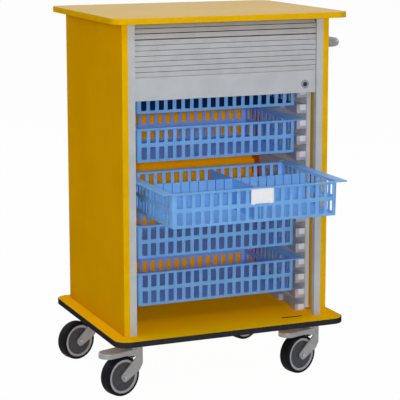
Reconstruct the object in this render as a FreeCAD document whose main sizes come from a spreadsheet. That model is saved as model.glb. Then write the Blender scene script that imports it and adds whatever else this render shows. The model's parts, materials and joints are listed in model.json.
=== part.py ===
"""Mobile storage cabinet with a roll-front shutter, five slotted baskets on moulded runners and four
swivel castors.  Millimetres, +Z up, front towards -Y, origin on the floor under the middle of the boards."""
import FreeCAD
import Part
import Sketcher

import math
import os
import re

VECTOR = FreeCAD.Vector
UP = VECTOR(0, 0, 1)
RIGHT = VECTOR(1, 0, 0)
BACK = VECTOR(0, 1, 0)

document = FreeCAD.newDocument("StorageCabinet")
sheet = document.addObject("Spreadsheet::Sheet", "Sizes")

# ---------------------------------------------------------------- driving dimensions
DRIVING = [
    ("top_corner", 43, "corner radius of both boards"),
    ("board_thick", 17, "worktop and base board"),
    ("band_thick", 2, "edge band glued round a board"),
    ("glue_gap", 0.05, "glue line behind an edge band and under a tread"),
    ("front_overhang", 62, "board edge in front of the side panels"),
    ("rear_overhang", 35, "board edge behind the back panel"),
    ("side_overhang", 43.5, "board edge outside the side panels"),
    ("castor_height", 170, "floor to base board"),
    ("side_thick", 19, "side panel"),
    ("back_thick", 16, "back panel"),
    ("guide_face", 22, "shutter guide, width of its front face"),
    ("guide_depth", 23.8, "shutter guide, front to back"),
    ("guide_lip", 9, "thickness of the guide's front lip"),
    ("guide_web", 3, "wall of the guide against the side panel"),
    ("guide_leg", 19, "width of the guide's rear leg"),
    ("track_wall", 2, "wall of the curved track"),
    ("track_width", 15, "curved track, off the side panel"),
    ("track_radius", 45, "curve of the shutter path"),
    ("track_gap", 2, "between the curved track and the worktop"),
    ("track_back_gap", 2, "between the curved track and the back panel"),
    ("track_tail", 330, "length of the path down the back panel"),
    ("slat_thick", 8, "shutter slat"),
    ("slat_pitch", 16, "shutter slat to shutter slat"),
    ("slat_joint", 0.3, "open joint between two slats"),
    ("slat_bevel", 1.3, "bevel along the front edges of a slat"),
    ("slat_relief", 0.9, "how far the back edges of a slat are drawn in"),
    ("slat_slack", 0.9, "slat in its groove, each side"),
    ("slat_end_gap", 1.5, "end of a slat to the web of its guide"),
    ("front_slats", 10, "slats that hang on the bottom rail, before the curve"),
    ("rail_drop", 164.9, "worktop to the top of the bottom rail"),
    ("rail_height", 69.5, "bottom rail"),
    ("rail_thick", 13, "bottom rail, front to back"),
    ("rail_wall", 1.8, "wall of the hollow bottom rail"),
    ("rail_end_gap", 0.6, "bottom rail to each guide"),
    ("tongue_height", 34, "tongue at each end of the rail that runs in the guide"),
    ("lock_side", 36.5, "lock axis to the inside edge of the right guide"),
    ("lock_rise", 26.5, "lock axis above the underside of the rail"),
    ("lock_radius", 11, "lock housing"),
    ("lock_collar", 1.5, "collar of the lock, proud of the rail"),
    ("plug_radius", 7, "turning plug of the lock"),
    ("plug_fit", 0.1, "plug in its housing, radial"),
    ("keyway_width", 1.6, "slot for the key"),
    ("keyway_height", 8, "slot for the key"),
    ("keyway_deep", 6, "slot for the key"),
    ("cam_length", 34, "lock axis to the tip of the cam"),
    ("cam_width", 12, "cam of the lock"),
    ("cam_thick", 3, "cam of the lock"),
    ("slot_length", 70, "slot in the base board that takes the cam"),
    ("slot_width", 10, "slot in the base board"),
    ("slot_deep", 11, "slot in the base board"),
    ("runner_pitch", 50, "runner to runner"),
    ("runner_count", 19, "runners on each side"),
    ("runner_first", 21, "base board to the top of the lowest runner"),
    ("runner_above", 31, "top of the highest runner to the worktop"),
    ("runner_high", 28, "height of a runner"),
    ("runner_wall", 2.5, "top and walls of a runner, which is open underneath"),
    ("runner_clear", 4, "front of a runner to the tub of a basket"),
    ("runner_nose", 6, "length of the blunt front of a runner"),
    ("tooth_slope", 21, "how far a runner narrows behind its front"),
    ("tooth_length", 133, "front of a runner to its second tooth"),
    ("tooth_step", 11, "front to back length of the step in front of the second tooth"),
    ("tooth_start", 9, "second tooth behind the line of the first, at its front"),
    ("tooth_end", 16, "second tooth behind the line of the first, at its back"),
    ("runner_end", 12, "length of the slanted back end of a runner"),
    ("panel_front", 76, "front edge of the side panels to the runner panel"),
    ("panel_behind", 65, "runner panel to the back edge of the side panels"),
    ("panel_short", 8, "runner panel ends this far in front of a basket's back rim"),
    ("panel_thick", 16.5, "runner panel off the side panel"),
    ("panel_skin", 3, "wall of the moulded runner panel"),
    ("panel_rim", 13.5, "width of the front rim of the runner panel"),
    ("panel_margin", 8, "runner panel above the base board and below the shutter path"),
    ("basket_width", 600, "basket over its side flanges"),
    ("basket_length", 400, "basket over its end rims"),
    ("basket_height", 105, "basket"),
    ("basket_wall", 2.5, "walls and floor of a basket"),
    ("basket_flange", 3, "thickness of the flange"),
    ("basket_side", 32, "width of each side flange"),
    ("basket_rim", 8, "width of each end rim"),
    ("basket_draft", 1.2, "taper of the walls in degrees"),
    ("basket_corner", 9, "corner radius of the flange"),
    ("basket_inset", 6, "basket rim in front of the runner panel"),
    ("basket_clear", 0.5, "side flange to the shutter guide"),
    ("slot_count", 18, "slots in each row of an end wall"),
    ("side_slots", 12, "slots in each row of a side wall"),
    ("slot_margin", 10.15, "plain wall beside the slots of an end wall"),
    ("side_margin", 20.1, "plain wall beside the slots of a side wall"),
    ("rib_width", 11.25, "rib between two slots"),
    ("row_rib", 12.5, "rib between the two rows of slots"),
    ("opening_low", 8.5, "basket floor to the lower row of slots"),
    ("opening_top", 5, "upper row of slots to the flange"),
    ("runner_first_basket", 3, "runners under the one that carries the lowest basket"),
    ("basket_step", 3, "runners from one basket to the next"),
    ("drawn_out", 288, "how far the middle basket stands out"),
    ("divider_thick", 2.4, "dividers in the middle basket"),
    ("divider_height", 94, "dividers in the middle basket"),
    ("divider_slit", 3, "slits in the dividers"),
    ("divider_fit", 0.5, "divider to the basket wall and floor"),
    ("divider_shift", 14, "long divider behind the middle of the basket"),
    ("label_width", 73, "label holder"),
    ("label_height", 45, "label holder"),
    ("label_thick", 4, "label holder"),
    ("label_frame", 3, "frame of the label holder round its card"),
    ("label_pocket", 2, "depth of the card pocket"),
    ("label_card", 0.6, "label card"),
    ("label_shift", 18, "label holder to the right of the middle"),
    ("touch_gap", 0.3, "between pieces that rest against each other"),
    ("handle_reach", 92, "side panel to the outside of the handle tube"),
    ("handle_tube", 13.5, "radius of the handle tube"),
    ("handle_bend", 32, "centre line radius of the handle's bends"),
    ("handle_margin", 85, "handle leg to the front and back edges of the side panel"),
    ("handle_drop", 90, "handle centre line below the worktop"),
    ("rosette_radius", 25, "round flange under each leg of the handle"),
    ("rosette_thick", 5, "round flange under each leg of the handle"),
    ("castor_side_inset", 83, "swivel axis to the side edge of the base board"),
    ("castor_end_inset", 99, "swivel axis to the front or back edge of the base board"),
    ("castor_trail", 50, "swivel axis to the axle"),
    ("castor_turn", 18, "how far the castors are turned, in degrees"),
    ("castor_swivel", 45, "base board to the top of the wheel"),
    ("wheel_width", 40, "width of the tread"),
    ("tread_thick", 9.5, "tread"),
    ("tread_round", 6, "rounded shoulder of the tread"),
    ("rim_thick", 8, "outer rim of the wheel centre"),
    ("rim_width", 37, "width of the outer rim"),
    ("disc_width", 28, "width of the wheel disc"),
    ("hub_radius", 13, "hub of the wheel"),
    ("hub_width", 43, "hub of the wheel"),
    ("guard_thick", 3, "thread guard on each side of the wheel, at its edge"),
    ("guard_dome", 1.4, "how much thicker a thread guard is at the hub"),
    ("axle_radius", 4, "axle bolt"),
    ("axle_fit", 0.1, "axle in the hub, radial"),
    ("axle_head", 6.5, "head and nut of the axle bolt"),
    ("axle_head_thick", 4.5, "head and nut of the axle bolt"),
    ("fork_width", 52, "fork over its two arms"),
    ("fork_slot", 44, "space between the arms"),
    ("fork_top", 19, "base board to the top of the fork"),
    ("fork_web", 12, "web between the arms"),
    ("fork_back", 19, "swivel axis to the straight back of the fork"),
    ("fork_front", 22, "swivel axis to the front of the fork"),
    ("fork_drop", 57, "height of the straight back of the fork"),
    ("arm_half", 13, "half the width of a fork arm at the axle"),
    ("arm_angle", 40, "slope of the fork arms in degrees"),
    ("arm_root", 4, "swivel axis to the upper end of the arms' front edge"),
    ("race_radius", 27, "swivel bearing under the plate"),
    ("race_gap", 0.4, "swivel bearing to the fork"),
    ("pin_radius", 6, "king pin of the swivel"),
    ("pin_fit", 0.1, "king pin in the fork, radial"),
    ("plate_length", 104, "castor plate"),
    ("plate_width", 84, "castor plate"),
    ("plate_thick", 3, "castor plate"),
    ("bolt_spacing_long", 80, "castor bolts, along the plate"),
    ("bolt_spacing_wide", 60, "castor bolts, across the plate"),
    ("bolt_radius", 6.5, "head of a castor bolt"),
    ("bolt_head", 5, "thickness of a castor bolt's head"),
    ("pedal_reach", 124, "swivel axis to the tip of the brake pedal"),
    ("pedal_top", 25, "base board to the top of the brake pedal"),
    ("pedal_plate", 4, "thickness of the pedal plate"),
    ("pedal_wall", 2.5, "walls of the pedal"),
    ("pedal_gap", 0.5, "side walls of the pedal to the fork"),
    ("pedal_edge", 16, "height of the pedal's walls from the tip to the cheeks"),
    ("pedal_deep", 25, "height of the pedal's cheeks beside the fork"),
    ("pedal_cheek", 40, "swivel axis to the start of the cheeks"),
    ("pedal_round", 3.5, "rounded upper edge of the pedal"),
    ("pedal_ear", 4, "swivel axis to the back of the pedal's side walls"),
    ("pedal_pin", 3, "radius of the pedal's pin"),
    ("pedal_axis", 12, "swivel axis to the pedal's pin"),
    ("pedal_pin_drop", 20, "pedal's pin below the top of the fork"),
]
for row, (alias, value, meaning) in enumerate(DRIVING, start=1):
    sheet.set(f"A{row}", str(value))
    sheet.setAlias(f"A{row}", alias)
    sheet.set(f"B{row}", meaning)
document.recompute()

# ---------------------------------------------------------------- places that follow from them
PLACES = {
    "base_top": "castor_height + board_thick",
    "case_height": "runner_first + (runner_count - 1) * runner_pitch + runner_above",
    "top_under": "base_top + case_height",
    "guide_inner": "basket_width / 2 + basket_clear",
    "inner_half": "guide_inner + guide_face",
    "case_half": "inner_half + side_thick",
    "panel_length": "basket_length - basket_inset - panel_short",
    "case_depth": "panel_front + panel_length + panel_behind",
    "top_width": "2 * (case_half + side_overhang)",
    "top_depth": "front_overhang + case_depth + rear_overhang",
    "case_front": "front_overhang - top_depth / 2",
    "case_back": "case_front + case_depth",
    "groove_width": "slat_thick + 2 * slat_slack",
    "path_front": "case_front + guide_lip + groove_width / 2",
    "path_back": "case_back - back_thick - track_back_gap - track_wall - groove_width / 2",
    "path_top": "top_under - track_gap - track_wall - groove_width / 2",
    "curve_start": "path_top - track_radius",
    "track_half": "groove_width / 2 + track_wall",
    "slat_half": "inner_half - guide_web - slat_end_gap",
    "rail_top": "top_under - rail_drop",
    "rail_bottom": "rail_top - rail_height",
    "rail_half": "guide_inner - rail_end_gap",
    "rail_front": "path_front - rail_thick / 2",
    "rail_back": "path_front + rail_thick / 2",
    "lock_x": "guide_inner - lock_side",
    "lock_z": "rail_bottom + lock_rise",
    "cam_back": "rail_back - rail_wall - touch_gap",
    "cam_front": "cam_back - cam_thick",
    "runner_face": "inner_half - panel_thick",
    "panel_near": "case_front + panel_front",
    "panel_far": "panel_near + panel_length",
    "panel_low": "base_top + panel_margin",
    "panel_high": "path_top - track_half - panel_margin",
    "basket_y": "panel_near - basket_inset + basket_length / 2",
    "tub_half": "basket_width / 2 - basket_side",
    "tub_end": "basket_length / 2 - basket_rim",
    "tub_deep": "basket_height - basket_flange",
    "runner_inner": "tub_half + runner_clear",
    "slot_pitch": "2 * (tub_half - slot_margin) / slot_count",
    "side_pitch": "2 * (tub_end - side_margin) / side_slots",
    "opening_width": "slot_pitch - rib_width",
    "side_opening": "side_pitch - rib_width",
    "opening_height": "(tub_deep - opening_low - opening_top - row_rib) / 2",
    "opening_rise": "opening_height + row_rib",
    "middle_rest": "base_top + runner_first + (runner_first_basket + 2 * basket_step) * runner_pitch",
    "middle_y": "basket_y - drawn_out",
    "floor_draw": "tub_deep * tan(basket_draft)",
    "divider_half": "tub_half - basket_wall - floor_draw - divider_fit",
    "divider_end": "tub_end - basket_wall - floor_draw - divider_fit",
    "divider_low": "middle_rest - tub_deep + basket_wall + divider_fit",
    "wheel_radius": "(castor_height - castor_swivel) / 2",
    "axle_z": "wheel_radius",
    "fork_high": "castor_height - fork_top",
    "rim_radius": "wheel_radius - tread_thick - glue_gap",
    "handle_x": "case_half + handle_reach - handle_tube",
    "handle_near": "case_front + handle_margin",
    "handle_far": "case_back - handle_margin",
    "handle_z": "top_under - handle_drop",
    "castor_side": "top_width / 2 - castor_side_inset",
    "castor_front": "top_depth / 2 - castor_end_inset",
    "race_low": "fork_high + race_gap",
    "cross_x": "slot_pitch / 2",
    "pedal_high": "castor_height - pedal_top",
    "pedal_inner": "fork_width / 2 + pedal_gap",
    "pedal_outer": "pedal_inner + pedal_wall",
}
ALIASES = {alias for alias, value, meaning in DRIVING}
WORD = re.compile(r"[a-z][a-z_]*")


def bind(text):
    """The sheet's expression for a formula written with the names above."""

    def swap(match):
        name = match.group(0)
        if name in PLACES:
            return "(" + bind(PLACES[name]) + ")"
        return "Sizes." + name if name in ALIASES else name

    return WORD.sub(swap, str(text))


def number(text):
    """The value of such a formula, in millimetres."""
    value = sheet.evalExpression(bind(text))
    return float(getattr(value, "Value", value))


NODES = {}


def node(label, piece):
    """Names a finished piece of the cabinet."""
    piece.Label = label
    NODES[label] = piece
    return piece


# ---------------------------------------------------------------- small building tools
def put(piece, x="0", y="0", z="0"):
    for axis, formula in zip("xyz", (x, y, z)):
        piece.setExpression(f"Placement.Base.{axis}", bind(formula))
    return piece


def block(name, low, size):
    """A plain box from its low corner."""
    box = document.addObject("Part::Box", name)
    for side, formula in zip(("Length", "Width", "Height"), size):
        box.setExpression(side, bind(formula))
    return put(box, *low)


def rod(name, radius, length, start, axis=UP):
    """A cylinder from the middle of its first face."""
    cylinder = document.addObject("Part::Cylinder", name)
    cylinder.setExpression("Radius", bind(radius))
    cylinder.setExpression("Height", bind(length))
    cylinder.Placement = FreeCAD.Placement(VECTOR(), FreeCAD.Rotation(UP, axis))
    return put(cylinder, *start)


def hexagon(name, radius, length, start, axis=UP):
    """A six-sided bolt head or nut from the middle of its first face."""
    prism = document.addObject("Part::Prism", name)
    prism.Polygon = 6
    prism.setExpression("Circumradius", bind(radius))
    prism.setExpression("Height", bind(length))
    prism.Placement = FreeCAD.Placement(VECTOR(), FreeCAD.Rotation(UP, axis))
    return put(prism, *start)


def fuse(name, pieces):
    union = document.addObject("Part::MultiFuse", name)
    union.Shapes = pieces
    return union


def cut(name, base, tool):
    difference = document.addObject("Part::Cut", name)
    difference.Base = base
    difference.Tool = tool
    return difference


def group(name, pieces):
    """Separate solids that share one name."""
    compound = document.addObject("Part::Compound", name)
    compound.Links = pieces
    return compound


def mirrored(name, piece):
    """The same piece for the other side of the cabinet."""
    mirror = document.addObject("Part::Mirroring", name)
    mirror.Source = piece
    mirror.Normal = RIGHT
    return mirror


def plane(body, role):
    return next(item for item in body.Origin.OriginFeatures if item.Role == role)


def sketch(body, role, offset="0"):
    """A sketch on one of the body's own planes, moved along its normal."""
    drawing = body.newObject("Sketcher::SketchObject", body.Name + "_sketch")
    drawing.AttachmentSupport = (plane(body, role), "")
    drawing.MapMode = "FlatFace"
    drawing.setExpression("AttachmentOffset.Base.z", bind(offset))
    return drawing


def outline(drawing, points):
    """A closed outline through points, each tied to the sheet."""
    first = drawing.GeometryCount
    count = len(points)
    values = [VECTOR(number(x), number(y), 0) for x, y in points]
    for index in range(count):
        drawing.addGeometry(Part.LineSegment(values[index], values[(index + 1) % count]), False)
    for index in range(count):
        following = first + (index + 1) % count
        drawing.addConstraint(Sketcher.Constraint("Coincident", first + index, 2, following, 1))
    for index, (x, y) in enumerate(points):
        for kind, formula, value in (("DistanceX", x, values[index].x), ("DistanceY", y, values[index].y)):
            made = drawing.addConstraint(Sketcher.Constraint(kind, -1, 1, first + index, 1, value))
            drawing.setExpression(f"Constraints[{made}]", bind(formula))
    return drawing


def rectangle(drawing, x_low, y_low, x_high, y_high):
    return outline(drawing, [(x_low, y_low), (x_high, y_low), (x_high, y_high), (x_low, y_high)])


def circle(drawing, radius, x="0", y="0"):
    value = number(radius)
    centre = VECTOR(number(x), number(y), 0)
    index = drawing.addGeometry(Part.Circle(centre, UP, value), False)
    made = drawing.addConstraint(Sketcher.Constraint("Radius", index, value))
    drawing.setExpression(f"Constraints[{made}]", bind(radius))
    for kind, formula, distance in (("DistanceX", x, centre.x), ("DistanceY", y, centre.y)):
        made = drawing.addConstraint(Sketcher.Constraint(kind, -1, 1, index, 3, distance))
        drawing.setExpression(f"Constraints[{made}]", bind(formula))
    return drawing


def pad(body, drawing, length, midplane=False, reverse=False, draft=None):
    feature = body.newObject("PartDesign::Pad", body.Name + "_pad")
    feature.Profile = drawing
    feature.setExpression("Length", bind(length))
    feature.Midplane = midplane
    feature.Reversed = reverse
    if draft:
        feature.setExpression("TaperAngle", bind(draft))
    return feature


def pocket(body, drawing, length=None, midplane=False, reverse=False, draft=None):
    """A pocket of a given depth, or right through the piece."""
    feature = body.newObject("PartDesign::Pocket", body.Name + "_pocket")
    feature.Profile = drawing
    feature.Midplane = midplane
    feature.Reversed = reverse
    if length is None:
        feature.Type = "ThroughAll"
    else:
        feature.setExpression("Length", bind(length))
    if draft:
        feature.setExpression("TaperAngle", bind(draft))
    return feature


def rounded(body, radius, direction, chosen=lambda middle: True):
    """Rounds the straight edges of a body that run along a direction."""

    def along(edge):
        straight = edge.Curve.TypeId == "Part::GeomLine"
        return straight and abs(edge.tangentAt(edge.FirstParameter).dot(direction)) > 0.99

    return softened(body, radius, lambda edge: along(edge) and chosen(edge.CenterOfMass))


def softened(body, radius, chosen):
    """Rounds the chosen edges of a body."""
    document.recompute()
    base = body.Tip
    names = [f"Edge{index}" for index, edge in enumerate(base.Shape.Edges, start=1) if chosen(edge)]
    feature = body.newObject("PartDesign::Fillet", body.Name + "_round")
    feature.Base = (base, names)
    feature.setExpression("Radius", bind(radius))
    return feature


def new_body(name):
    return document.addObject("PartDesign::Body", name)


def pattern(body, feature, role, pitch, count, reverse=False):
    """Repeats a feature in a row along the normal of one of the body's planes."""
    row = body.newObject("PartDesign::LinearPattern", body.Name + "_pattern")
    row.Originals = [feature]
    row.Direction = (plane(body, role), [""])
    row.Reversed = reverse
    row.Mode = "Spacing"
    row.setExpression("Offset", bind(pitch))
    row.setExpression("Occurrences", bind(count))
    body.Tip = row
    return row


# ---------------------------------------------------------------- boards and their edge bands
def board(name, low, inset):
    """A board with rounded corners, set in all round from its full size."""
    body = new_body(name)
    half_x, half_y = f"(top_width / 2 - {inset})", f"(top_depth / 2 - {inset})"
    pad(body, rectangle(sketch(body, "XY_Plane"), "-" + half_x, "-" + half_y, half_x, half_y), "board_thick")
    rounded(body, f"top_corner - {inset}", UP)
    return put(body, "0", "0", low)


def edge_band(name, low):
    """The band round a board: a thin closed ring as high as the board."""
    return cut(name, board(name + "_outside", low, "0"), board(name + "_inside", low, "band_thick"))


IN_BAND = "(band_thick + glue_gap)"
node("worktop", board("worktop", "top_under", IN_BAND))
node("worktop_edge_band", edge_band("worktop_band", "top_under"))
node("base_edge_band", edge_band("base_band", "castor_height"))

base = board("base_blank", "castor_height", IN_BAND)
cam_slot = block(
    "cam_slot",
    ("lock_x - slot_length", "path_front - slot_width / 2", "base_top - slot_deep"),
    ("slot_length", "slot_width", "slot_deep"),
)
node("base_board", cut("base_board", base, cam_slot))

# ---------------------------------------------------------------- case
side = node(
    "side_panel_right",
    block("side_panel_right", ("inner_half", "case_front", "base_top"), ("side_thick", "case_depth", "case_height")),
)
node("side_panel_left", mirrored("side_panel_left", side))
node(
    "back_panel",
    block("back_panel", ("-inner_half", "case_back - back_thick", "base_top"), ("2 * inner_half", "back_thick", "case_height")),
)


# ---------------------------------------------------------------- shutter guides and curved tracks
def shutter_guide():
    """Right front guide: a channel whose groove opens inwards, cut back behind its lip for the curved track."""
    body = new_body("shutter_guide")
    groove_front = "case_front + guide_lip"
    groove_back = "case_front + guide_lip + groove_width"
    leg = "inner_half - guide_leg"
    web = "inner_half - guide_web"
    section = [
        ("guide_inner", "case_front"),
        ("inner_half", "case_front"),
        ("inner_half", "case_front + guide_depth"),
        (leg, "case_front + guide_depth"),
        (leg, groove_back),
        (web, groove_back),
        (web, groove_front),
        ("guide_inner", groove_front),
    ]
    pad(body, outline(sketch(body, "XY_Plane", "base_top"), section), "case_height")
    window = sketch(body, "XY_Plane", "top_under")
    behind_lip = "path_front - track_half - touch_gap"
    rectangle(window, "guide_inner - touch_gap", behind_lip, "inner_half + touch_gap", "case_front + guide_depth + touch_gap")
    pocket(body, window, "top_under - curve_start + touch_gap")
    return body


def path_body(name, half, from_side, width):
    """A strip along the shutter path: up the front, back under the worktop and down the back panel."""
    body = new_body(name)
    foot, tail = "curve_start - touch_gap / 2", "curve_start - track_tail"
    strip = [
        (f"path_front - {half}", foot),
        (f"path_front + {half}", foot),
        (f"path_front + {half}", f"path_top - {half}"),
        (f"path_back - {half}", f"path_top - {half}"),
        (f"path_back - {half}", tail),
        (f"path_back + {half}", tail),
        (f"path_back + {half}", f"path_top + {half}"),
        (f"path_front - {half}", f"path_top + {half}"),
    ]
    pad(body, outline(sketch(body, "YZ_Plane", from_side), strip), width)
    middle_line, low = number("path_top"), number("curve_start") + 1
    rounded(body, f"track_radius - {half}", RIGHT, lambda middle: low < middle.z < middle_line)
    rounded(body, f"track_radius + {half}", RIGHT, lambda middle: middle.z > middle_line)
    return body


guide = node("shutter_guide_right", shutter_guide())
node("shutter_guide_left", mirrored("shutter_guide_left", guide))

strip = path_body("track_strip", "track_half", "inner_half - track_width", "track_width")
groove = path_body("track_groove", "groove_width / 2", "inner_half - track_width", "track_width - guide_web")
track = node("curved_track_right", cut("curved_track_right", strip, groove))
node("curved_track_left", mirrored("curved_track_left", track))


# ---------------------------------------------------------------- tambour slats
def path_point(travel):
    """Place and slope of the shutter path, measured up from the top of the bottom rail."""
    front, back = number("path_front"), number("path_back")
    start, radius = number("curve_start"), number("track_radius")
    rise = start - number("rail_top")
    quarter = radius * math.pi / 2
    run = back - front - 2 * radius
    if travel <= rise:
        return front, number("rail_top") + travel, 0.0
    travel -= rise
    if travel <= quarter:
        angle = travel / radius
        return front + radius * (1 - math.cos(angle)), start + radius * math.sin(angle), angle
    travel -= quarter
    if travel <= run:
        return front + radius + travel, start + radius, math.pi / 2
    travel -= run
    if travel <= quarter:
        angle = travel / radius
        return back - radius * (1 - math.sin(angle)), start + radius * math.cos(angle), math.pi / 2 + angle
    return back, start - (travel - quarter), math.pi


def slat_shape():
    """One slat along X, with bevelled front edges and a back drawn in for the curve."""
    thick, tall = number("slat_thick") / 2, (number("slat_pitch") - number("slat_joint")) / 2
    bevel, relief, half = number("slat_bevel"), number("slat_relief"), number("slat_half")
    section = [(-thick, tall - bevel), (-thick + bevel, tall), (0, tall), (thick, tall - relief)]
    section += [(y, -z) for y, z in reversed(section)]
    wire = Part.makePolygon([VECTOR(-half, y, z) for y, z in section + section[:1]])
    return Part.Face(wire).extrude(VECTOR(2 * half, 0, 0))


def slat_row(name, first, last):
    """Slats placed one after another along the shutter path."""
    shape = slat_shape()
    placed = []
    for index in range(first, last):
        y, z, slope = path_point((index + 0.5) * number("slat_pitch"))
        turned = FreeCAD.Placement(VECTOR(0, y, z), FreeCAD.Rotation(RIGHT, -math.degrees(slope)))
        placed.append(shape.transformed(turned.toMatrix()))
    feature = document.addObject("Part::Feature", name)
    feature.Shape = Part.makeCompound(placed)
    return feature


visible = round(number("front_slats"))
closed_length = number("rail_bottom - base_top")
all_slats = visible + math.ceil(closed_length / number("slat_pitch"))
node("shutter_slats", slat_row("shutter_slats", 0, visible))
node("stored_slats", slat_row("stored_slats", visible, all_slats))


# ---------------------------------------------------------------- bottom rail and lock
def bottom_rail():
    """Hollow rail with a tongue at each end that runs in the guide, a bore for the lock and a slot for its cam."""
    rail = block("rail_body", ("-rail_half", "rail_front", "rail_bottom"), ("2 * rail_half", "rail_thick", "rail_height"))
    hollow = block(
        "rail_hollow",
        ("rail_wall - rail_half", "rail_front + rail_wall", "rail_bottom + rail_wall"),
        ("2 * (rail_half - rail_wall)", "rail_thick - 2 * rail_wall", "rail_height - 2 * rail_wall"),
    )
    tongues = []
    for side_name, low in (("left", "-slat_half"), ("right", "rail_half")):
        tongues.append(
            block(
                "tongue_" + side_name,
                (low, "path_front - slat_thick / 2", "rail_bottom"),
                ("slat_half - rail_half", "slat_thick", "tongue_height"),
            )
        )
    bore = rod("rail_bore", "lock_radius + touch_gap", "rail_thick / 2", ("lock_x", "rail_front - 1", "lock_z"), BACK)
    cam_room = "cam_width / 2 + 1"
    mouth = block(
        "rail_mouth",
        (f"lock_x - cam_length - {cam_room}", "cam_front - 1", "rail_bottom - 1"),
        (f"cam_length + 2 * ({cam_room})", "cam_thick + 1 + touch_gap", "rail_wall + 2"),
    )
    shell = cut("rail_shell", rail, fuse("rail_cuts", [hollow, bore, mouth]))
    return fuse("bottom_rail", [shell] + tongues)


def lock_housing():
    """Collar on the face of the rail and a barrel inside it, bored for the plug."""
    collar = rod("lock_collar_disc", "lock_radius + 2", "lock_collar", ("lock_x", "rail_front - touch_gap - lock_collar", "lock_z"), BACK)
    barrel = rod(
        "lock_barrel", "lock_radius", "cam_front - rail_front", ("lock_x", "rail_front - touch_gap - lock_collar / 2", "lock_z"), BACK
    )
    bore = rod("lock_bore", "plug_radius + plug_fit", "2 * rail_thick", ("lock_x", "rail_front - rail_thick / 2", "lock_z"), BACK)
    return cut("lock_housing", fuse("lock_body", [collar, barrel]), bore)


def lock_plug():
    """Turning plug with a keyway in its face."""
    face = "rail_front - touch_gap - lock_collar"
    plug = rod("plug_blank", "plug_radius", f"cam_front - ({face})", ("lock_x", face, "lock_z"), BACK)
    keyway = block(
        "keyway",
        ("lock_x - keyway_width / 2", f"{face} - 1", "lock_z - keyway_height / 2"),
        ("keyway_width", "keyway_deep + 1", "keyway_height"),
    )
    return cut("lock_plug", plug, keyway)


def lock_cam():
    """Flat hook that swings down out of the rail: round at the plug, straight to a square tip."""
    body = new_body("lock_cam")
    drawing = sketch(body, "XZ_Plane", "-(cam_back)")
    rectangle(drawing, "lock_x - cam_length", "lock_z - cam_width / 2", "lock_x + cam_width / 2", "lock_z + cam_width / 2")
    pad(body, drawing, "cam_thick")
    middle_x = number("lock_x")
    rounded(body, "cam_width / 2 - 0.1", BACK, lambda middle: middle.x > middle_x)
    return body


node("bottom_rail", bottom_rail())
node("lock_housing", lock_housing())
node("lock_plug", lock_plug())
node("lock_cam", lock_cam())


# ---------------------------------------------------------------- moulded runner panels
def runner_panel():
    """Right runner panel: a tray-shaped moulding whose open side faces the side panel."""
    body = new_body("runner_panel")
    face = rectangle(sketch(body, "YZ_Plane", "runner_face"), "panel_near", "panel_low", "panel_far", "panel_high")
    pad(body, face, "panel_thick")
    near, far = "panel_near + panel_skin", "panel_far - panel_skin"
    low, high = "panel_low + panel_skin", "panel_high - panel_skin"
    hollow = rectangle(sketch(body, "YZ_Plane", "runner_face + panel_skin"), near, low, far, high)
    pocket(body, hollow, "panel_thick", reverse=True)
    rim = rectangle(sketch(body, "YZ_Plane", "runner_face + panel_rim"), "panel_near - 1", low, near, high)
    pocket(body, rim, "panel_thick", reverse=True)
    return body


def runner(name, high):
    """One runner: two saw teeth in plan, the front one reaching in to the tub, moulded hollow from below."""
    body = new_body(name)
    neck = "runner_inner + tooth_slope"
    tooth = "panel_near + tooth_length"
    plan = [
        ("runner_face", "panel_near"),
        ("runner_inner", "panel_near"),
        ("runner_inner", "panel_near + runner_nose"),
        (neck, tooth),
        ("runner_inner + tooth_start", f"{tooth} + tooth_step"),
        ("runner_inner + tooth_end", "panel_far - runner_end"),
        ("runner_face", "panel_far"),
    ]
    pad(body, outline(sketch(body, "XY_Plane"), plan), high, reverse=True)
    room = [
        ("runner_face - runner_wall", "panel_near + runner_wall"),
        ("runner_inner + runner_wall", "panel_near + runner_wall"),
        ("runner_inner + runner_wall", "panel_near + runner_nose"),
        (f"{neck} + runner_wall", tooth),
        ("runner_inner + tooth_start + runner_wall", f"{tooth} + tooth_step"),
        ("runner_inner + tooth_end + runner_wall", "panel_far - runner_end - runner_wall"),
        ("runner_face - runner_wall", "panel_far - runner_end - runner_wall"),
    ]
    pocket(body, outline(sketch(body, "XY_Plane", "-runner_wall"), room))
    return body


def runners():
    """Right runners, the lowest one shorter because it ends just above the base board."""
    lowest, full = runner("lowest_runner", "runner_first - touch_gap"), runner("runner", "runner_high")
    bars = []
    for index in range(round(number("runner_count"))):
        top = f"base_top + runner_first + {index} * runner_pitch"
        bars.append(put(group(f"runner_{index}", [full if index else lowest]), "0", "0", top))
    return group("runners_right", bars)


panel = node("runner_panel_right", runner_panel())
node("runner_panel_left", mirrored("runner_panel_left", panel))
bars = node("runners_right", runners())
node("runners_left", mirrored("runners_left", bars))


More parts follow.
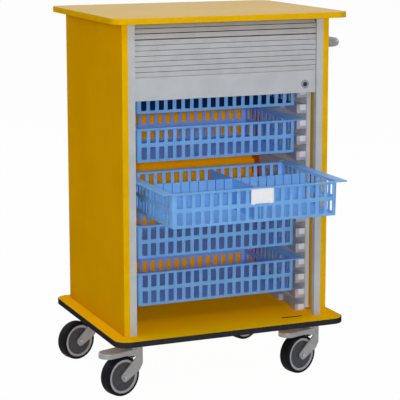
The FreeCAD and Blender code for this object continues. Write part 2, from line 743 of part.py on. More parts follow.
# ---------------------------------------------------------------- slotted baskets
def slotted_basket():
    """Basket with wide side flanges, tapered walls and two rows of slots, its flange resting on z = 0."""
    body = new_body("slotted_basket")
    flange = sketch(body, "XY_Plane")
    rectangle(flange, "-basket_width / 2", "-basket_length / 2", "basket_width / 2", "basket_length / 2")
    pad(body, flange, "basket_flange")
    rounded(body, "basket_corner", UP)
    tub = rectangle(sketch(body, "XY_Plane"), "-tub_half", "-tub_end", "tub_half", "tub_end")
    pad(body, tub, "tub_deep", reverse=True, draft="-basket_draft")
    inner_x, inner_y = "(tub_half - basket_wall)", "(tub_end - basket_wall)"
    inside = rectangle(sketch(body, "XY_Plane", "basket_flange"), "-" + inner_x, "-" + inner_y, inner_x, inner_y)
    pocket(body, inside, "basket_height - basket_wall", draft="-basket_draft")
    end_slots = sketch(body, "XZ_Plane")
    left = "(slot_count - 1) / 2 * slot_pitch + opening_width / 2"
    side_slots = sketch(body, "YZ_Plane")
    near = "(side_slots - 1) / 2 * side_pitch + side_opening / 2"
    for rise in ("0", "opening_rise"):
        low = f"opening_low - tub_deep + {rise}"
        rectangle(end_slots, f"-({left})", low, f"opening_width - ({left})", f"{low} + opening_height")
        rectangle(side_slots, f"-({near})", low, f"side_opening - ({near})", f"{low} + opening_height")
    first = pocket(body, end_slots, midplane=True)
    pattern(body, first, "YZ_Plane", "slot_pitch", "slot_count")
    first = pocket(body, side_slots, midplane=True)
    pattern(body, first, "XZ_Plane", "side_pitch", "side_slots", reverse=True)
    return body


mould = slotted_basket()
BASKETS = 5
for index in range(BASKETS):
    label = f"basket_{BASKETS - index}"
    rest = f"base_top + runner_first + (runner_first_basket + {index} * basket_step) * runner_pitch"
    pulled = "basket_y - drawn_out" if index == BASKETS // 2 else "basket_y"
    node(label, put(group(label, [mould]), "0", pulled, rest))


def long_divider():
    """Divider across the middle basket, slit from the top at every slot."""
    sheet_body = new_body("long_divider_sheet")
    drawing = sketch(sheet_body, "XZ_Plane")
    rectangle(drawing, "-divider_half", "0", "divider_half", "divider_height")
    pad(sheet_body, drawing, "divider_thick", midplane=True)
    slit = sketch(sheet_body, "XZ_Plane")
    left = "(1 - slot_count) / 2 * slot_pitch - divider_slit / 2"
    rectangle(slit, left, "divider_height / 2", f"{left} + divider_slit", "divider_height + 1")
    first = pocket(sheet_body, slit, midplane=True)
    pattern(sheet_body, first, "YZ_Plane", "slot_pitch", "slot_count")
    return put(sheet_body, "0", "middle_y + divider_shift", "divider_low")


def cross_divider():
    """Divider from front to back, slit from below to drop over the long one."""
    body = new_body("cross_divider_sheet")
    drawing = sketch(body, "YZ_Plane")
    slit_near = "divider_shift - divider_slit / 2"
    slit_far = "divider_shift + divider_slit / 2"
    points = [
        ("-divider_end", "0"),
        (slit_near, "0"),
        (slit_near, "divider_height / 2 + divider_fit"),
        (slit_far, "divider_height / 2 + divider_fit"),
        (slit_far, "0"),
        ("divider_end", "0"),
        ("divider_end", "divider_height"),
        ("-divider_end", "divider_height"),
    ]
    pad(body, outline(drawing, points), "divider_thick", midplane=True)
    return put(body, "cross_x", "middle_y", "divider_low")


def label_holder():
    """Frame clipped to the front wall, with a pocket for the card."""
    front = "middle_y - tub_end - touch_gap - label_thick"
    low = ("label_shift - label_width / 2", front, "middle_rest - touch_gap - label_height")
    plate = block("label_plate", low, ("label_width", "label_thick", "label_height"))
    recess = block(
        "label_recess",
        ("label_shift - label_width / 2 + label_frame", f"{front} - 1", "middle_rest - touch_gap - label_height + label_frame"),
        ("label_width - 2 * label_frame", "label_pocket + 1", "label_height - 2 * label_frame"),
    )
    return cut("label_holder", plate, recess)


def label_card():
    """Card in the pocket of the holder."""
    edge = "label_frame + touch_gap"
    back = "middle_y - tub_end - touch_gap - label_thick + label_pocket"
    return block(
        "label_card",
        (f"label_shift - label_width / 2 + {edge}", f"{back} - label_card", f"middle_rest - touch_gap - label_height + {edge}"),
        (f"label_width - 2 * ({edge})", "label_card", f"label_height - 2 * ({edge})"),
    )


node("divider_long", long_divider())
node("divider_cross", cross_divider())
node("label_holder", label_holder())
node("label_card", label_card())


# ---------------------------------------------------------------- push handle
def push_handle():
    """Tube bent to a bow: two legs, two quarter bends and a straight grip."""
    leg = "handle_x - handle_bend - case_half - rosette_thick - touch_gap"
    root = "case_half + rosette_thick + touch_gap"
    pieces = [rod("handle_grip", "handle_tube", "handle_far - handle_near - 2 * handle_bend", ("handle_x", "handle_near + handle_bend", "handle_z"), BACK)]
    for name, y, turn, centre in (
        ("near", "handle_near", -90, "handle_near + handle_bend"),
        ("far", "handle_far", 0, "handle_far - handle_bend"),
    ):
        pieces.append(rod("handle_leg_" + name, "handle_tube", leg, (root, y, "handle_z"), RIGHT))
        bend = document.addObject("Part::Torus", "handle_bend_" + name)
        bend.setExpression("Radius1", bind("handle_bend"))
        bend.setExpression("Radius2", bind("handle_tube"))
        bend.Angle3 = 90
        bend.Placement = FreeCAD.Placement(VECTOR(), FreeCAD.Rotation(UP, turn))
        pieces.append(put(bend, "handle_x - handle_bend", centre, "handle_z"))
    return fuse("push_handle", pieces)


node("push_handle", push_handle())
rosettes = [
    rod("rosette_" + name, "rosette_radius", "rosette_thick", ("case_half", y, "handle_z"), RIGHT)
    for name, y in (("near", "handle_near"), ("far", "handle_far"))
]
node("handle_rosettes", group("handle_rosettes", rosettes))


# ---------------------------------------------------------------- castors, drawn with the swivel axis on Z
def turned(name, profile, centre_x="0", centre_z="0"):
    """A piece turned on the axle: profile points are (radius, along the axle)."""
    body = new_body(name)
    drawing = outline(sketch(body, "XY_Plane"), profile)
    feature = body.newObject("PartDesign::Revolution", name + "_turn")
    feature.Profile = drawing
    feature.ReferenceAxis = (drawing, ["V_Axis"])
    feature.Angle = 360
    return put(body, centre_x, "0", centre_z)


def tread():
    half, inner, bevel = "wheel_width / 2", "rim_radius + glue_gap", "tread_round"
    profile = [
        (inner, f"-{half}"),
        (f"wheel_radius - {bevel}", f"-{half}"),
        (f"wheel_radius - {bevel} / 4", f"{bevel} * 0.7 - {half}"),
        ("wheel_radius", "-wheel_width / 4"),
        ("wheel_radius", "wheel_width / 4"),
        (f"wheel_radius - {bevel} / 4", f"{half} - {bevel} * 0.7"),
        (f"wheel_radius - {bevel}", half),
        (inner, half),
    ]
    return turned("tread", profile, "-castor_trail", "axle_z")


def wheel_centre():
    inner_rim = "rim_radius - rim_thick"
    widths = (("axle_radius + axle_fit", "hub_width / 2"), ("hub_radius", "hub_width / 2"), ("hub_radius", "disc_width / 2"),
              (inner_rim, "disc_width / 2"), (inner_rim, "rim_width / 2"), ("rim_radius", "rim_width / 2"))
    profile = [(radius, width) for radius, width in widths] + [(radius, f"-{width}") for radius, width in reversed(widths)]
    return turned("wheel_centre", profile, "-castor_trail", "axle_z")


def thread_guards():
    """Two domed washers that lie on the disc of the wheel and keep threads off the hub."""
    inner, outer = "hub_radius + touch_gap", "rim_radius - rim_thick - touch_gap"
    face = "disc_width / 2"
    profile = [
        (inner, face),
        (outer, face),
        (outer, f"{face} + guard_thick"),
        (inner, f"{face} + guard_thick + guard_dome"),
    ]
    guard = turned("thread_guard", profile, "-castor_trail", "axle_z")
    other = document.addObject("Part::Mirroring", "thread_guard_other")
    other.Source = guard
    other.Normal = BACK
    return group("thread_guards", [guard, other])


def fork():
    """Fork: one side profile pressed to its width, slotted for the wheel, bored for axle, king pin and pedal."""
    body = new_body("fork")
    run, rise = "cos(arm_angle)", "sin(arm_angle)"
    end_x, end_z = f"-castor_trail - arm_half * {run}", f"axle_z - arm_half * {rise}"
    left = (f"{end_x} - arm_half * {rise}", f"{end_z} + arm_half * {run}")
    below = (f"{end_x} + arm_half * {rise}", f"{end_z} - arm_half * {run}")
    climb = f"(castor_trail + arm_half * ({run} + {rise}) - arm_root) * tan(arm_angle)"
    root_z = f"{left[1]} + {climb}"
    profile = [
        ("fork_back", "fork_high"),
        ("fork_back", "fork_high - fork_drop"),
        ("fork_back * 0.4", "fork_high - fork_drop - fork_back"),
        below,
        left,
        ("-arm_root", root_z),
        ("-fork_front", f"{root_z} + (fork_front - arm_root) / 2"),
        ("-fork_front", "fork_high"),
    ]
    pad(body, outline(sketch(body, "XZ_Plane"), profile), "fork_width", midplane=True)
    lowest, nearest = number("axle_z + arm_half / 2"), number("arm_half / 2 - castor_trail")
    rounded(body, "arm_half * 0.8", BACK, lambda middle: middle.z < lowest and middle.x < nearest)
    slot = sketch(body, "YZ_Plane")
    rectangle(slot, "-fork_slot / 2", "0", "fork_slot / 2", "fork_high - fork_web")
    pocket(body, slot, midplane=True)
    bores = sketch(body, "XZ_Plane")
    circle(bores, "axle_radius + axle_fit / 2", "-castor_trail", "axle_z")
    circle(bores, "pedal_pin + pin_fit", "-pedal_axis", "fork_high - pedal_pin_drop")
    pocket(body, bores, midplane=True)
    king = circle(sketch(body, "XY_Plane"), "pin_radius + pin_fit")
    pocket(body, king, midplane=True)
    return body


def axle():
    """Bolt through fork and wheel, with its head and nut outside the arms."""
    seat = "fork_width / 2 + touch_gap / 3"
    shank = rod("axle_shank", "axle_radius", f"2 * ({seat})", ("-castor_trail", f"-({seat})", "axle_z"), BACK)
    ends = [
        hexagon("axle_end_front", "axle_head", "axle_head_thick", ("-castor_trail", f"-({seat}) - axle_head_thick", "axle_z"), BACK),
        hexagon("axle_end_back", "axle_head", "axle_head_thick", ("-castor_trail", seat, "axle_z"), BACK),
    ]
    return fuse("axle", [shank] + ends)


def castor_plate():
    """Top plate with the upper bearing race and the king pin."""
    plate = block(
        "plate_blank", ("-plate_length / 2", "-plate_width / 2", "castor_height - plate_thick"), ("plate_length", "plate_width", "plate_thick")
    )
    race = rod("race", "race_radius", "fork_top - plate_thick - race_gap", ("0", "0", "race_low"))
    pin = rod("king_pin", "pin_radius", "fork_web + race_gap + 2", ("0", "0", "fork_high - fork_web - 2"))
    return fuse("castor_plate", [plate, race, pin])


def castor_bolts():
    heads = []
    for index, (x, y) in enumerate(((-1, -1), (1, -1), (1, 1), (-1, 1))):
        place = (f"{x} * bolt_spacing_long / 2", f"{y} * bolt_spacing_wide / 2", "castor_height - plate_thick - bolt_head")
        heads.append(hexagon(f"bolt_{index}", "bolt_radius", "bolt_head", place))
    return group("castor_bolt_set", heads)


def pedal_blank(name, top, tip, half, deep):
    """A tongue with a rounded tip, as far as the back of the cheeks."""
    body = new_body(name)
    plan = rectangle(sketch(body, "XY_Plane", top), f"-({tip})", f"-({half})", "-pedal_ear", half)
    pad(body, plan, deep, reverse=True)
    near_tip = 1 - number(tip)
    rounded(body, f"{half} - 0.5", UP, lambda middle: middle.x < near_tip)
    return body


def brake_pedal():
    """Tray-shaped pedal whose cheeks straddle the fork, hung on its own pin."""
    body = pedal_blank("pedal_shell", "pedal_high", "pedal_reach", "pedal_outer", "pedal_deep")
    document.recompute()
    upper, back = number("pedal_high") - 0.1, number("-pedal_ear") - 0.1
    softened(body, "pedal_round", lambda edge: edge.CenterOfMass.z > upper and edge.CenterOfMass.x < back)
    below = "pedal_high - pedal_deep"
    edge = sketch(body, "XZ_Plane")
    lower_edge = [
        ("-pedal_reach - 1", f"{below} - 1"),
        ("-pedal_ear - 1", f"{below} - 1"),
        ("-pedal_ear - 1", below),
        ("-pedal_cheek", "pedal_high - pedal_edge"),
        ("-pedal_reach - 1", "pedal_high - pedal_edge"),
    ]
    pocket(body, outline(edge, lower_edge), midplane=True)
    fork_room = rectangle(sketch(body, "XY_Plane", "pedal_high"), "-fork_front - 1", "-pedal_inner", "0", "pedal_inner")
    pocket(body, fork_room, "pedal_deep")
    under = "pedal_high - pedal_plate"
    room = pedal_blank("pedal_room", under, "pedal_reach - pedal_wall", "pedal_inner", "pedal_deep")
    start = ("-pedal_axis", "pedal_wall / 2 - pedal_outer", "fork_high - pedal_pin_drop")
    pin = rod("pedal_pin_rod", "pedal_pin", "2 * pedal_outer - pedal_wall", start, BACK)
    return fuse("brake_pedal", [cut("pedal_tray", body, room), pin])


PLACES_OF_CASTORS = {
    "front_left": (-1, -1),
    "front_right": (1, -1),
    "rear_left": (-1, 1),
    "rear_right": (1, 1),
}
TREAD, CENTRE, GUARDS, AXLE = tread(), wheel_centre(), thread_guards(), axle()
FORK, PLATE, PEDAL, BOLTS = fork(), castor_plate(), brake_pedal(), castor_bolts()
bolt_sets = []


def at_castor(name, piece, x, y, turn=True):
    """A copy of a castor piece at one corner, turned with the wheel where it swivels."""
    copy = group(name, [piece])
    copy.Placement = FreeCAD.Placement(VECTOR(), FreeCAD.Rotation(UP, number("castor_turn") if turn else 0))
    return put(copy, f"{x} * castor_side", f"{y} * castor_front", "0")


for corner, (x, y) in PLACES_OF_CASTORS.items():
    node("castor_plate_" + corner, at_castor("castor_plate_" + corner, PLATE, x, y, turn=False))
    bolt_sets.append(at_castor("bolts_" + corner, BOLTS, x, y, turn=False))
    node("fork_" + corner, at_castor("fork_" + corner, FORK, x, y))
    node("axle_" + corner, at_castor("axle_" + corner, AXLE, x, y))
    node("wheel_centre_" + corner, at_castor("wheel_centre_" + corner, CENTRE, x, y))
    node("tread_" + corner, at_castor("tread_" + corner, TREAD, x, y))
    node("thread_guards_" + corner, at_castor("thread_guards_" + corner, GUARDS, x, y))
    if corner.startswith("front"):
        node("brake_pedal_" + corner, at_castor("brake_pedal_" + corner, PEDAL, x, y))
node("castor_bolts", group("castor_bolts", bolt_sets))

# ---------------------------------------------------------------- check and write
document.recompute()
for item in document.Objects:
    if "Invalid" in item.State or "Error" in item.State:
        raise RuntimeError(f"{item.Label} did not build: {item.State}")
for label, piece in NODES.items():
    if piece.Shape.isNull() or not piece.Shape.isValid() or not piece.Shape.Solids:
        raise RuntimeError(f"{label} has no sound shape")

os.makedirs("parts", exist_ok=True)
for label, piece in NODES.items():
    piece.Shape.exportStep(f"parts/{label}.step")
print(len(NODES), "pieces written")
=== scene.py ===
import json
import math

import bmesh
import bpy
from mathutils import Matrix, Vector


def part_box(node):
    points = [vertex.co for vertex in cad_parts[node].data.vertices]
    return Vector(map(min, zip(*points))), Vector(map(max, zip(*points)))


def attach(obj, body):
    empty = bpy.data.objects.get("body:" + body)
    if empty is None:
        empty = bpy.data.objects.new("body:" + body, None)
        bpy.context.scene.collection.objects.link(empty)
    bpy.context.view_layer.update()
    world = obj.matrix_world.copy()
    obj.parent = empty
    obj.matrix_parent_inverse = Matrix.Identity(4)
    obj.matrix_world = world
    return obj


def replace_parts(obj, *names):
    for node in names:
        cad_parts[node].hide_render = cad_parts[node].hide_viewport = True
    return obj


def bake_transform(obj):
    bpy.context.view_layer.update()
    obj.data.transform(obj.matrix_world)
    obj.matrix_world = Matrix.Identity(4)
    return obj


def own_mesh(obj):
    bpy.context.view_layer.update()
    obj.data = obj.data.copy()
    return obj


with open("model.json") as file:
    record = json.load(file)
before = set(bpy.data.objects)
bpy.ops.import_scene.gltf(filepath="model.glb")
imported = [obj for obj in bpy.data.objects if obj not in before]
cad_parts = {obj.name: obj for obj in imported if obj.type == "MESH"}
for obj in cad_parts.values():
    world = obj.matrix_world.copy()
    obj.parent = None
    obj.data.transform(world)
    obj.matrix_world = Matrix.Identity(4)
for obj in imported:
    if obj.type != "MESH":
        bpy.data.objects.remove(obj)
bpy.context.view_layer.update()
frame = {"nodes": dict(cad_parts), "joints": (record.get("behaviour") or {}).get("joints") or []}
NODES = frame["nodes"]
CORNERS = ("front_left", "front_right", "rear_left", "rear_right")
MM = 0.001


# ---------------------------------------------------------------- colours and materials
def srgb(red, green, blue):
    """A colour as it is seen on screen, 0 to 255, in Blender's linear values."""
    values = []
    for level in (red, green, blue):
        share = level / 255
        values.append(share / 12.92 if share <= 0.04045 else ((share + 0.055) / 1.055) ** 2.4)
    return (*values, 1.0)


def node_of(tree, kind):
    """A shader tree's first node of a kind."""
    return next(node for node in tree.nodes if node.type == kind)


def calculated(tree, operation, *terms):
    """Output of a Math node; each term is a number or another node's output."""
    node = tree.nodes.new("ShaderNodeMath")
    node.operation = operation
    for socket, term in zip(node.inputs, terms):
        if isinstance(term, bpy.types.NodeSocket):
            tree.links.new(term, socket)
        else:
            socket.default_value = term
    return node.outputs[0]


class Finish:
    """A procedural material: two close shades mixed by noise, uneven gloss and a fine relief."""

    def __init__(self, name, **shader):
        self.material = bpy.data.materials.new(name)
        self.material.use_nodes = True
        self.tree = self.material.node_tree
        self.shader = node_of(self.tree, "BSDF_PRINCIPLED")
        for socket, value in shader.items():
            self.shader.inputs[socket.replace("_", " ")].default_value = value
        self.place = self.tree.nodes.new("ShaderNodeTexCoord").outputs["Object"]

    def noise(self, scale, detail=4.0, rough=0.55):
        """Noise from 0 to 1 over the object, which drives the colour, the gloss and the relief."""
        noise = self.tree.nodes.new("ShaderNodeTexNoise")
        noise.inputs["Scale"].default_value = scale
        noise.inputs["Detail"].default_value = detail
        noise.inputs["Roughness"].default_value = rough
        self.tree.links.new(self.place, noise.inputs["Vector"])
        return noise.outputs["Fac"]

    def shades(self, first, second, factor, low=0.35, high=0.65):
        """Two shades of one colour, which change over between the low and the high factor."""
        ramp = self.tree.nodes.new("ShaderNodeValToRGB")
        ramp.color_ramp.elements[0].position = low
        ramp.color_ramp.elements[0].color = first
        ramp.color_ramp.elements[1].position = high
        ramp.color_ramp.elements[1].color = second
        self.tree.links.new(factor, ramp.inputs["Fac"])
        self.tree.links.new(ramp.outputs["Color"], self.shader.inputs["Base Color"])

    def gloss(self, low, high, factor):
        """Roughness that wanders between two values."""
        spread = self.tree.nodes.new("ShaderNodeMapRange")
        spread.inputs["To Min"].default_value = low
        spread.inputs["To Max"].default_value = high
        self.tree.links.new(factor, spread.inputs["Value"])
        self.tree.links.new(spread.outputs["Result"], self.shader.inputs["Roughness"])

    def relief(self, factor, strength, distance=0.0004):
        """A fine bump, with its depth in metres."""
        bump = self.tree.nodes.new("ShaderNodeBump")
        bump.inputs["Strength"].default_value = strength
        bump.inputs["Distance"].default_value = distance
        self.tree.links.new(factor, bump.inputs["Height"])
        self.tree.links.new(bump.outputs["Normal"], self.shader.inputs["Normal"])
        return self


def plastic(name, first, second, rough=(0.38, 0.5), grain=900, relief=0.12, cloud=14, **shader):
    """Moulded plastic with a fine grain."""
    finish = Finish(name, **shader)
    finish.shades(first, second, finish.noise(cloud))
    finish.gloss(*rough, finish.noise(cloud * 4))
    return finish.relief(finish.noise(grain, detail=2), relief).material


def laminate(name, first, second, shine):
    """Melamine-faced board: even colour with a pearl grain."""
    finish = Finish(name, Specular_IOR_Level=shine)
    finish.shades(first, second, finish.noise(5, detail=6))
    finish.gloss(0.34, 0.46, finish.noise(60))
    return finish.relief(finish.noise(1400, detail=3), 0.05).material


def metal(name, first, second, rough, scale, relief=0.1):
    """Plated metal, whose colour and gloss wander together."""
    finish = Finish(name, Metallic=1.0)
    cloud = finish.noise(scale, detail=5)
    finish.shades(first, second, cloud)
    finish.gloss(*rough, cloud)
    return finish.relief(finish.noise(scale * 5, detail=2), relief).material


def place_parts(tree):
    """X, Y and Z of the place in the object's own frame, in metres."""
    parts = tree.nodes.new("ShaderNodeSeparateXYZ")
    tree.links.new(tree.nodes.new("ShaderNodeTexCoord").outputs["Object"], parts.inputs["Vector"])
    return parts.outputs


def overlaid(material, colour, masks, blend="MIX"):
    """Lays a colour over a material's own where every mask is 1."""
    tree = material.node_tree
    total = masks[0]
    for mask in masks[1:]:
        total = calculated(tree, "MULTIPLY", total, mask)
    mix = tree.nodes.new("ShaderNodeMixRGB")
    mix.blend_type = blend
    mix.inputs["Color2"].default_value = colour
    base = node_of(tree, "BSDF_PRINCIPLED").inputs["Base Color"]
    tree.links.new(total, mix.inputs["Fac"])
    tree.links.new(base.links[0].from_socket, mix.inputs["Color1"])
    tree.links.new(mix.outputs["Color"], base)


def coloured_box(material, low, high, colour):
    """Gives a material another colour inside a box, whose corners are in millimetres."""
    tree = material.node_tree
    place = place_parts(tree)
    masks = [
        calculated(tree, "COMPARE", place[axis], (a + b) / 2 * MM, (b - a) / 2 * MM)
        for axis, a, b in zip("XYZ", low, high)
    ]
    overlaid(material, colour, masks)


def painted_shade_inside(material, half_x, back_y, start_y, end_y):
    """Painted shade: turns a board's yellow deeper orange between the cabinet's walls, growing from the front
    inwards, for the shade there and the yellow light the walls throw onto it.
    """
    tree = material.node_tree
    place = place_parts(tree)
    deep = tree.nodes.new("ShaderNodeMapRange")
    deep.interpolation_type = "SMOOTHSTEP"
    deep.inputs["From Min"].default_value = start_y
    deep.inputs["From Max"].default_value = end_y
    tree.links.new(place["Y"], deep.inputs["Value"])
    between = calculated(tree, "COMPARE", place["X"], 0.0, half_x)
    before = calculated(tree, "LESS_THAN", place["Y"], back_y)
    overlaid(material, INSIDE_SHADE_TINT, (deep.outputs["Result"], between, before), blend="MULTIPLY")


def basket_plastic(name, first, second, shine):
    """The baskets' plastic, all one finish."""
    return plastic(name, first, second, rough=(0.3, 0.42), cloud=16, relief=0.05, Specular_IOR_Level=shine)


# Painted shade on the base board: what its yellow is multiplied by inside the cabinet, and the box of its slot,
# painted dark, in millimetres.
INSIDE_SHADE_TINT = (1.04, 0.84, 1.0, 1.0)
CAM_SLOT = ((194, -241, 160), (264, -231, 187.7))
SLOT_PAINTED_SHADE = srgb(34, 20, 4)
# Painted shade: the yellow side boards' colour in deep shade, laid on the grey runner parts.
SIDE_BOARD_PAINTED_SHADE = srgb(196, 76, 0)
YELLOW = laminate("yellow_laminate", srgb(202, 146, 0), srgb(208, 152, 2), shine=0.0)
# Painted light: the base board takes a lighter copy of the boards' yellow, for the light that falls on it from
# above.
BASE_PAINTED_LIGHT = laminate("yellow_base_painted_light", srgb(234, 176, 2), srgb(240, 182, 4), shine=0.0)
painted_shade_inside(BASE_PAINTED_LIGHT, half_x=0.335, back_y=0.25, start_y=-0.3, end_y=-0.19)
# Painted shade: the inside of the base board's slot is painted near black.
coloured_box(BASE_PAINTED_LIGHT, *CAM_SLOT, SLOT_PAINTED_SHADE)
# Painted light: the back panel's inner face takes a lighter, deeper orange copy of the yellow, for the light that
# reaches into the cabinet.
BACK_PAINTED_LIGHT = laminate("yellow_back_painted_light", srgb(244, 158, 0), srgb(250, 164, 2), shine=0.0)
YELLOW_TOP = laminate("yellow_worktop", srgb(206, 162, 10), srgb(212, 168, 16), shine=0.3)
YELLOW_EDGE = plastic(
    "yellow_edge", srgb(206, 158, 2), srgb(212, 164, 6), rough=(0.4, 0.5), cloud=30, Specular_IOR_Level=0.0
)
BLACK_EDGE = plastic(
    "black_edge", srgb(38, 40, 45), srgb(44, 46, 51), rough=(0.45, 0.6), cloud=40, Specular_IOR_Level=0.0
)
GUIDE_GREY = plastic("guide_grey", srgb(164, 166, 167), srgb(172, 174, 175), rough=(0.36, 0.46), cloud=20)
TRACK_GREY = plastic("track_grey", srgb(96, 96, 100), srgb(108, 108, 112), rough=(0.45, 0.6))
SLAT_GREY = plastic("slat_grey", srgb(160, 161, 164), srgb(168, 169, 172), rough=(0.36, 0.48), cloud=24)
RAIL_GREY = plastic("rail_grey", srgb(163, 167, 170), srgb(171, 175, 178), rough=(0.32, 0.44), cloud=18)
PANEL_GREY = plastic("panel_grey", srgb(182, 187, 193), srgb(192, 197, 203), rough=(0.42, 0.56), cloud=22)
RUNNER_GREY = plastic("runner_grey", srgb(160, 157, 170), srgb(170, 167, 180), rough=(0.38, 0.5), cloud=22)
# Painted shade: behind the runners a deep orange strip on each side is painted on the runner panel and the
# runners, for the yellow side boards seen there in deep shade; in millimetres.
STRIP_X, STRIP_BACK, STRIP_Z = (280, 345), 320, (150, 1150)
for material, start in ((PANEL_GREY, 175), (RUNNER_GREY, 138)):
    for side in (-1, 1):
        near, far = sorted(side * x for x in STRIP_X)
        coloured_box(material, (near, start, STRIP_Z[0]), (far, STRIP_BACK, STRIP_Z[1]), SIDE_BOARD_PAINTED_SHADE)
LUG_WHITE = plastic("lug_white", srgb(206, 210, 216), srgb(216, 220, 226), rough=(0.3, 0.42), cloud=40)
BASKET_BLUE = basket_plastic("basket_blue", srgb(103, 153, 207), srgb(111, 161, 214), 0.06)
# Painted shade: the baskets' inner faces take a lighter, more violet blue, as the plastic looks where it stands in
# its own shade.
BASKET_INSIDE_PAINTED_SHADE = basket_plastic("basket_inside_painted_shade", srgb(118, 154, 224), srgb(126, 162, 230), 0.1)
# Painted shade: basket 1's inner faces are painted dark, for the shade under the worktop.
BASKET_PAINTED_SHADE = basket_plastic("basket_painted_shade", srgb(34, 58, 112), srgb(40, 64, 118), 0.0)
# Painted light: basket 3, drawn out into the light, has its inner faces painted lighter.
BASKET_PAINTED_LIGHT = basket_plastic("basket_painted_light", srgb(124, 178, 238), srgb(132, 186, 244), 0.1)
# Painted light: the top of the baskets' flange is painted lighter, for the light that falls on it from above.
BASKET_RIM_PAINTED_LIGHT = basket_plastic("basket_rim", srgb(130, 180, 236), srgb(137, 187, 242), 0.06)
DIVIDER_BLUE = plastic("divider_blue", srgb(104, 156, 212), srgb(112, 163, 218), rough=(0.3, 0.42), cloud=16)
LABEL_WHITE = plastic("label_white", srgb(212, 212, 216), srgb(220, 220, 223), rough=(0.35, 0.45), cloud=60)
CARD_WHITE = plastic("card_white", srgb(217, 216, 219), srgb(224, 223, 226), rough=(0.6, 0.75), cloud=80)
RUBBER = plastic(
    "tread_rubber", srgb(10, 11, 13), srgb(16, 17, 20), rough=(0.6, 0.75), cloud=60, relief=0.25,
    Specular_IOR_Level=0.08
)
RING_GREY = plastic("wheel_ring", srgb(142, 143, 146), srgb(152, 153, 156), rough=(0.36, 0.5), cloud=50)
DISC_GREY = plastic(
    "wheel_disc", srgb(56, 57, 61), srgb(64, 65, 69), rough=(0.42, 0.56), cloud=60, Specular_IOR_Level=0.2
)
HANDLE_GREY = plastic("handle_grey", srgb(130, 133, 133), srgb(139, 142, 142), rough=(0.28, 0.4), cloud=24)
ZINC = metal("zinc_plate", srgb(160, 160, 166), srgb(184, 184, 190), rough=(0.34, 0.5), scale=60)
BOLT_ZINC = metal("bolt_zinc", srgb(146, 146, 150), srgb(176, 176, 180), rough=(0.3, 0.45), scale=160)
CHROME = metal("lock_chrome", srgb(124, 126, 133), srgb(150, 152, 160), rough=(0.2, 0.3), scale=300, relief=0.04)
PLUG = metal("lock_plug_metal", srgb(50, 52, 58), srgb(66, 68, 74), rough=(0.3, 0.4), scale=300, relief=0.04)
JOINT_DARK = plastic(
    "slat_joint", srgb(38, 39, 41), srgb(46, 47, 49), rough=(0.6, 0.75), cloud=40, Specular_IOR_Level=0.1
)
FORK_GREY = plastic(
    "fork_zinc", srgb(138, 139, 141), srgb(151, 152, 154), rough=(0.34, 0.48), cloud=40, relief=0.06, Metallic=0.35
)

FINISHES = {
    "worktop_edge_band": YELLOW_EDGE,
    "worktop": YELLOW_TOP,
    "base_edge_band": BLACK_EDGE,
    "base_board": BASE_PAINTED_LIGHT,
    "side_panel": YELLOW,
    "back_panel": BACK_PAINTED_LIGHT,
    "shutter_guide": GUIDE_GREY,
    "curved_track": TRACK_GREY,
    "stored_slats": SLAT_GREY,
    "shutter_slats": SLAT_GREY,
    "bottom_rail": RAIL_GREY,
    "lock_housing": CHROME,
    "lock_plug": PLUG,
    "lock_cam": BOLT_ZINC,
    "runner_panel": PANEL_GREY,
    "runners": RUNNER_GREY,
    "push_handle": HANDLE_GREY,
    "handle_rosettes": HANDLE_GREY,
    "castor_plate": ZINC,
    "castor_bolts": BOLT_ZINC,
    "fork": FORK_GREY,
    "axle": BOLT_ZINC,
    "wheel_centre": RING_GREY,
    "thread_guards": DISC_GREY,
    "tread": RUBBER,
    "brake_pedal": FORK_GREY,
    "basket": BASKET_BLUE,
    "divider": DIVIDER_BLUE,
    "label_holder": LABEL_WHITE,
    "label_card": CARD_WHITE,
}


def finish_of(name):
    """The material of a node, by the longest key that its name starts with."""
    return FINISHES[max((key for key in FINISHES if name.startswith(key)), key=len)]


# ---------------------------------------------------------------- building tools
def shade(mesh, angle=35):
    """Smooth shading that keeps edges sharper than the angle."""
    for polygon in mesh.polygons:
        polygon.use_smooth = True
    mesh.set_sharp_from_angle(angle=math.radians(angle))


def bevelled(item, width, segments=2, angle=40):
    """Rounds the edges sharper than the angle, by a width in millimetres."""
    modifier = item.modifiers.new("edge", "BEVEL")
    modifier.width = width * MM
    modifier.segments = segments
    modifier.limit_method = "ANGLE"
    modifier.angle_limit = math.radians(angle)
    modifier.harden_normals = True


def finished(name, bm, material, body):
    """Turns a bmesh into a piece of a material, or a tuple of them, which rides on a body if one is named."""
    bmesh.ops.recalc_face_normals(bm, faces=bm.faces)
    mesh = bpy.data.meshes.new(name)
    bm.to_mesh(mesh)
    bm.free()
    for part in material if isinstance(material, tuple) else (material,):
        mesh.materials.append(part)
    shade(mesh)
    item = bpy.data.objects.new(name, mesh)
    bpy.context.collection.objects.link(item)
    if body:
        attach(item, body)
    return item


def box_into(bm, low, high):
    """Adds a box in millimetres."""
    size = [(b - a) * MM for a, b in zip(low, high)]
    middle = Vector([(a + b) / 2 * MM for a, b in zip(low, high)])
    bmesh.ops.create_cube(bm, size=1, matrix=Matrix.Translation(middle) @ Matrix.Diagonal((*size, 1)))


def ring_faces(bm, first, second):
    """Joins two closed loops of as many points with quads, and gives the quads back."""
    count = len(first)
    faces = []
    for index in range(count):
        following = (index + 1) % count
        faces.append(bm.faces.new((first[index], first[following], second[following], second[index])))
    return faces


